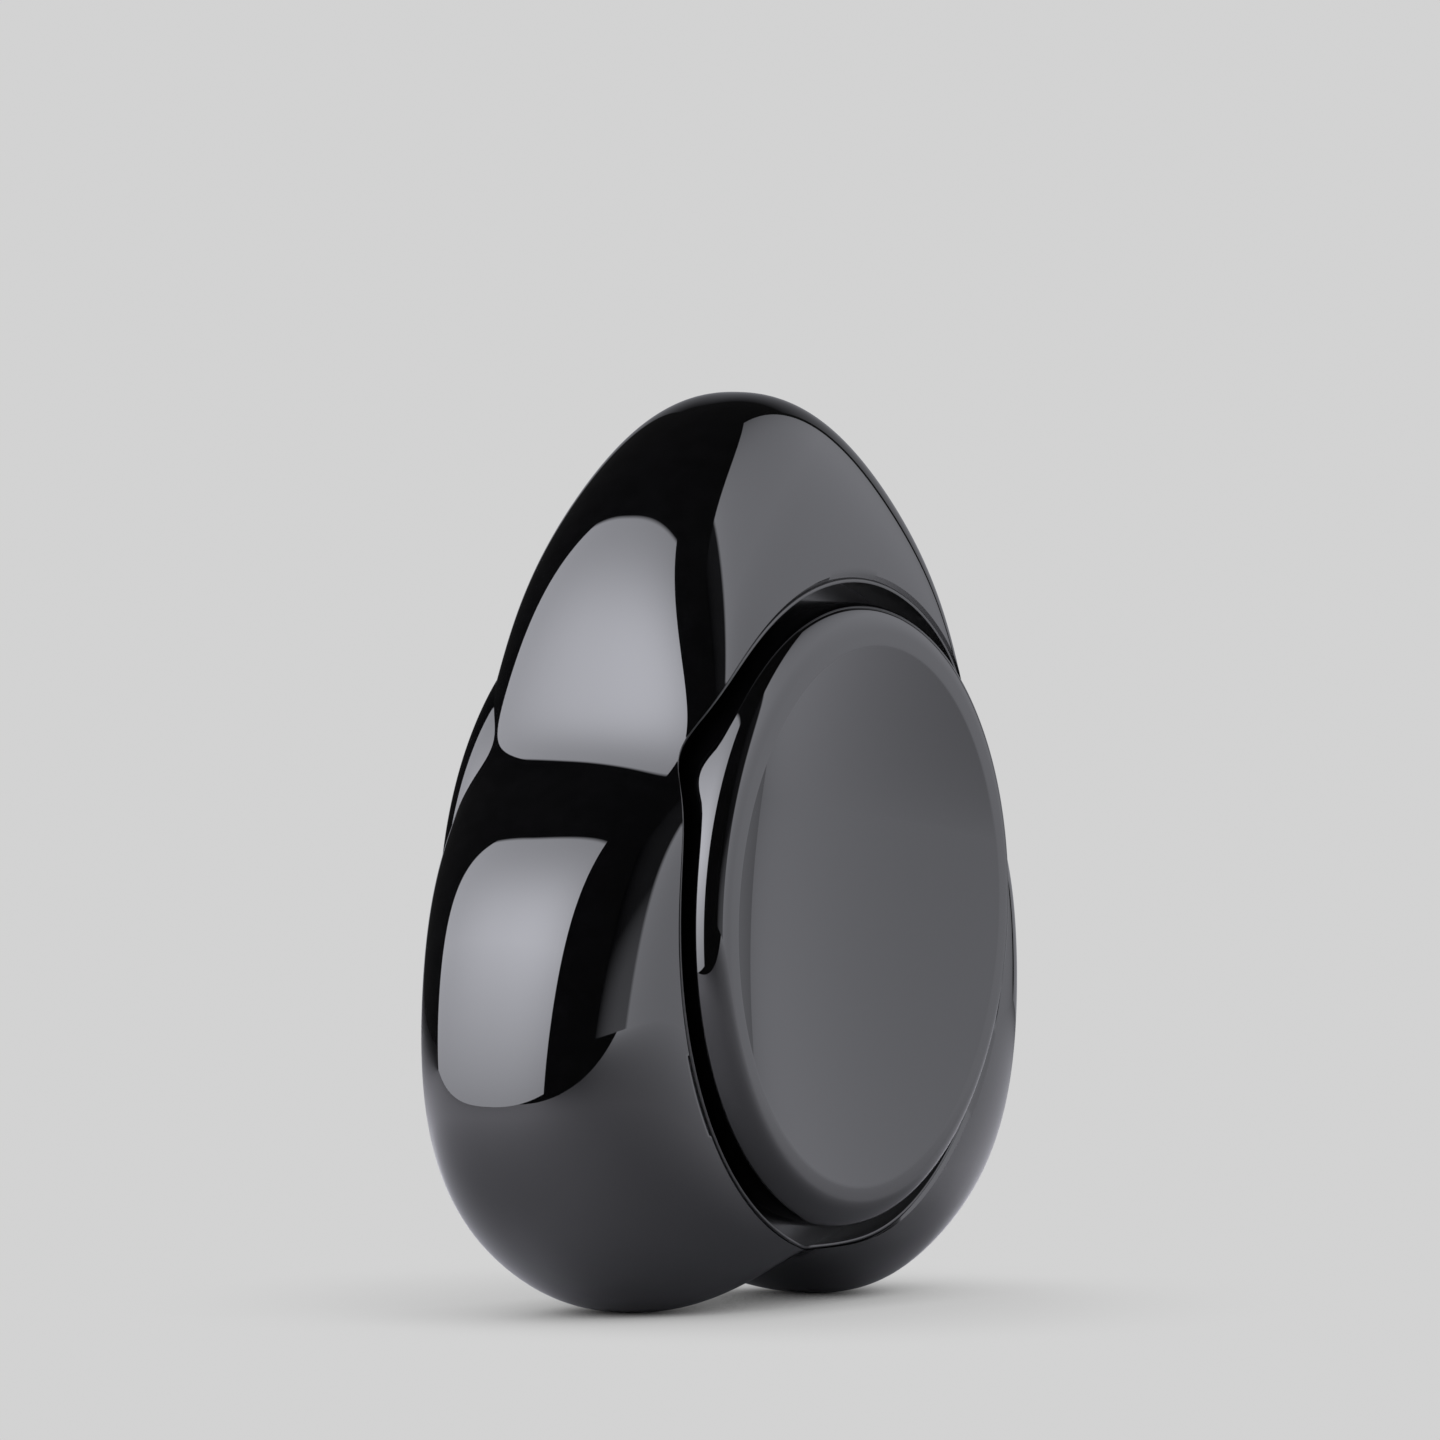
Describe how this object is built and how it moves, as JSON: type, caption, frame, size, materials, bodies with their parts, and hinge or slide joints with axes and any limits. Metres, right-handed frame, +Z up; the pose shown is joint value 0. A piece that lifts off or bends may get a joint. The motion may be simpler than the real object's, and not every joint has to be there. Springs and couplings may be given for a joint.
{
  "type": "face roller",
  "caption": "Hand-held three-lobed massage roller: a polished black pebble body that turns on a bearing between two dished finger caps.",
  "frame": {"origin": "centre of the ball bearing, on the turning axis and midway between the two faces", "axes": "Y is the turning axis, with the front finger cap towards -Y; +Z points up through the top lobe, with the roller standing on its two lower lobes; +X is to the right seen from the front"},
  "size_m": [0.0568, 0.0196, 0.0544],
  "materials": {
    "polished_stone": "mirror-polished jet black",
    "turned_aluminium": "fine turned",
    "bearing_steel": "ground",
    "bearing_balls": "lapped",
    "nylon": "moulded, satin",
    "pressed_steel": "pressed sheet",
    "spring_steel": "black phosphate",
    "turned_steel": "fine turned",
    "black_screw_steel": "black oxide",
    "adhesive_foam": "matt foam tape"
  },
  "bodies": {
    "roller": {"roller_body": "polished_stone", "bearing_sleeve": "turned_aluminium", "retaining_ring": "spring_steel", "bearing_outer_ring": "bearing_steel", "bearing_front_shield": "pressed_steel", "bearing_rear_shield": "pressed_steel"},
    "caps": {"front_finger_cap": "polished_stone", "rear_finger_cap": "polished_stone", "bearing_inner_ring": "bearing_steel", "spindle": "turned_steel", "front_shim": "spring_steel", "front_hub": "turned_aluminium", "front_lock_washer": "spring_steel", "front_hub_screw": "black_screw_steel", "front_adhesive_ring": "adhesive_foam", "rear_shim": "spring_steel", "rear_hub": "turned_aluminium", "rear_lock_washer": "spring_steel", "rear_hub_screw": "black_screw_steel", "rear_adhesive_ring": "adhesive_foam"},
    "cage": {"bearing_balls": "bearing_balls", "bearing_cage": "nylon"}
  },
  "joints": [
    {"name": "cap_spin", "type": "hinge", "parent": "roller", "child": "caps", "pos_m": [0, 0, 0], "axis": [0, 1, 0], "continuous": true},
    {"name": "cage_spin", "type": "hinge", "parent": "roller", "child": "cage", "pos_m": [0, 0, 0], "axis": [0, 1, 0], "continuous": true}
  ],
  "couplings": [
    {"joint": "cage_spin", "follows": "cap_spin", "ratio": 0.3677}
  ]
}
